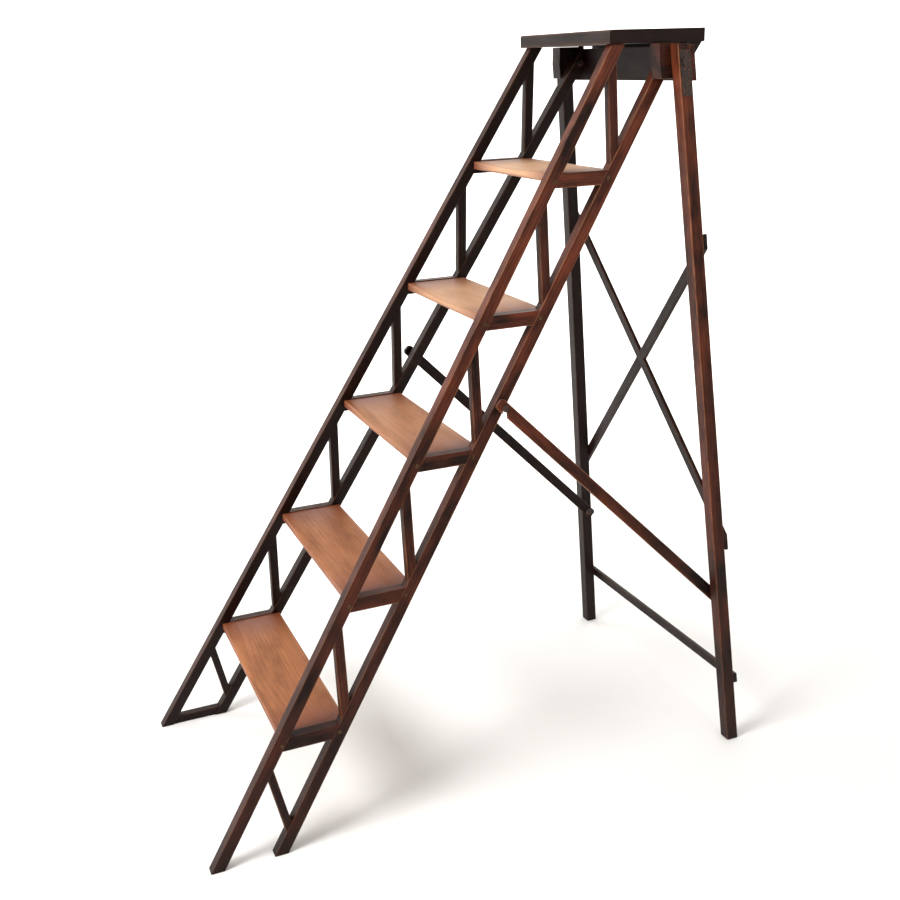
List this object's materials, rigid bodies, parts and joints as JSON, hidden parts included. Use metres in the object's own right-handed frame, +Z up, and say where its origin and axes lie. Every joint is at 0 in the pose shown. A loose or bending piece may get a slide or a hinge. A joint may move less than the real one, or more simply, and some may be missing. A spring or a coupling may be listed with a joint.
{
  "type": "folding platform step ladder",
  "caption": "Folding wooden step ladder with lattice sides, worn pale treads, a top platform and a hinged, cross-braced back frame held open by hooked stays.",
  "frame": {"origin": "on the floor, at the middle of the ladder's width and depth", "axes": "+X to the right of someone climbing, +Y from the treads to the back frame, +Z up"},
  "size_m": [0.662, 1.1722, 1.493],
  "materials": {
    "varnished_wood": "dark red-brown varnish, rubbed at the edges",
    "worn_tread": "bare wood worn by feet, traces of varnish at the ends",
    "worn_platform": "rubbed dark varnish, pale along the front edge",
    "black_iron": "wrought iron, browned",
    "brass_screw": "tarnished slotted screw heads"
  },
  "bodies": {
    "ladder_frame": {"back_stile_left": "varnished_wood", "back_stile_right": "varnished_wood", "bearer_1_left": "varnished_wood", "bearer_1_right": "varnished_wood", "bearer_2_left": "varnished_wood", "bearer_2_right": "varnished_wood", "bearer_3_left": "varnished_wood", "bearer_3_right": "varnished_wood", "bearer_4_left": "varnished_wood", "bearer_4_right": "varnished_wood", "bearer_5_left": "varnished_wood", "bearer_5_right": "varnished_wood", "foot_rail_left": "varnished_wood", "front_stile_left": "varnished_wood", "front_stile_right": "varnished_wood", "pivot_block_left": "varnished_wood", "pivot_block_right": "varnished_wood", "pivot_bolt_left": "black_iron", "pivot_bolt_right": "black_iron", "pivot_nut_left": "black_iron", "pivot_nut_right": "black_iron", "platform": "worn_platform", "platform_batten": "varnished_wood", "platform_screws": "brass_screw", "side_screws": "brass_screw", "stay_stud_left": "black_iron", "stay_stud_right": "black_iron", "strut_1_left": "varnished_wood", "strut_1_right": "varnished_wood", "strut_2_left": "varnished_wood", "strut_2_right": "varnished_wood", "strut_3_left": "varnished_wood", "strut_3_right": "varnished_wood", "strut_4_left": "varnished_wood", "strut_4_right": "varnished_wood", "strut_5_left": "varnished_wood", "strut_5_right": "varnished_wood", "strut_6_left": "varnished_wood", "strut_6_right": "varnished_wood", "tread_1": "worn_tread", "tread_2": "worn_tread", "tread_3": "worn_tread", "tread_4": "worn_tread", "tread_5": "worn_tread"},
    "rear_frame": {"apron_rail": "varnished_wood", "brace_lath_rising_left": "varnished_wood", "brace_lath_rising_right": "varnished_wood", "leg_plate_left": "black_iron", "leg_plate_right": "black_iron", "lower_rail": "varnished_wood", "rear_frame_screws": "brass_screw", "rear_leg_left": "varnished_wood", "rear_leg_right": "varnished_wood", "stay_screw_left": "black_iron", "stay_screw_right": "black_iron", "stay_washer_left": "black_iron", "stay_washer_right": "black_iron"},
    "stay_left": {"stay_left": "varnished_wood"},
    "stay_right": {"stay_right": "varnished_wood"}
  },
  "joints": [
    {"name": "rear_frame_fold", "type": "hinge", "parent": "ladder_frame", "child": "rear_frame", "pos_m": [0, 0.44535, 1.434], "axis": [-1, 0, 0], "range_deg": [0, 34]},
    {"name": "stay_swing_right", "type": "hinge", "parent": "rear_frame", "child": "stay_right", "pos_m": [0.27816, 0.54305, 0.335], "axis": [-0.9981, 0, -0.061], "range_deg": [0, 39.5]},
    {"name": "stay_swing_left", "type": "hinge", "parent": "rear_frame", "child": "stay_left", "pos_m": [-0.27816, 0.54305, 0.335], "axis": [-0.9981, 0, 0.061], "range_deg": [0, 39.5]}
  ],
  "couplings": [
    {"joint": "stay_swing_right", "follows": "rear_frame_fold", "ratio": 1.1616},
    {"joint": "stay_swing_left", "follows": "rear_frame_fold", "ratio": 1.1616}
  ]
}
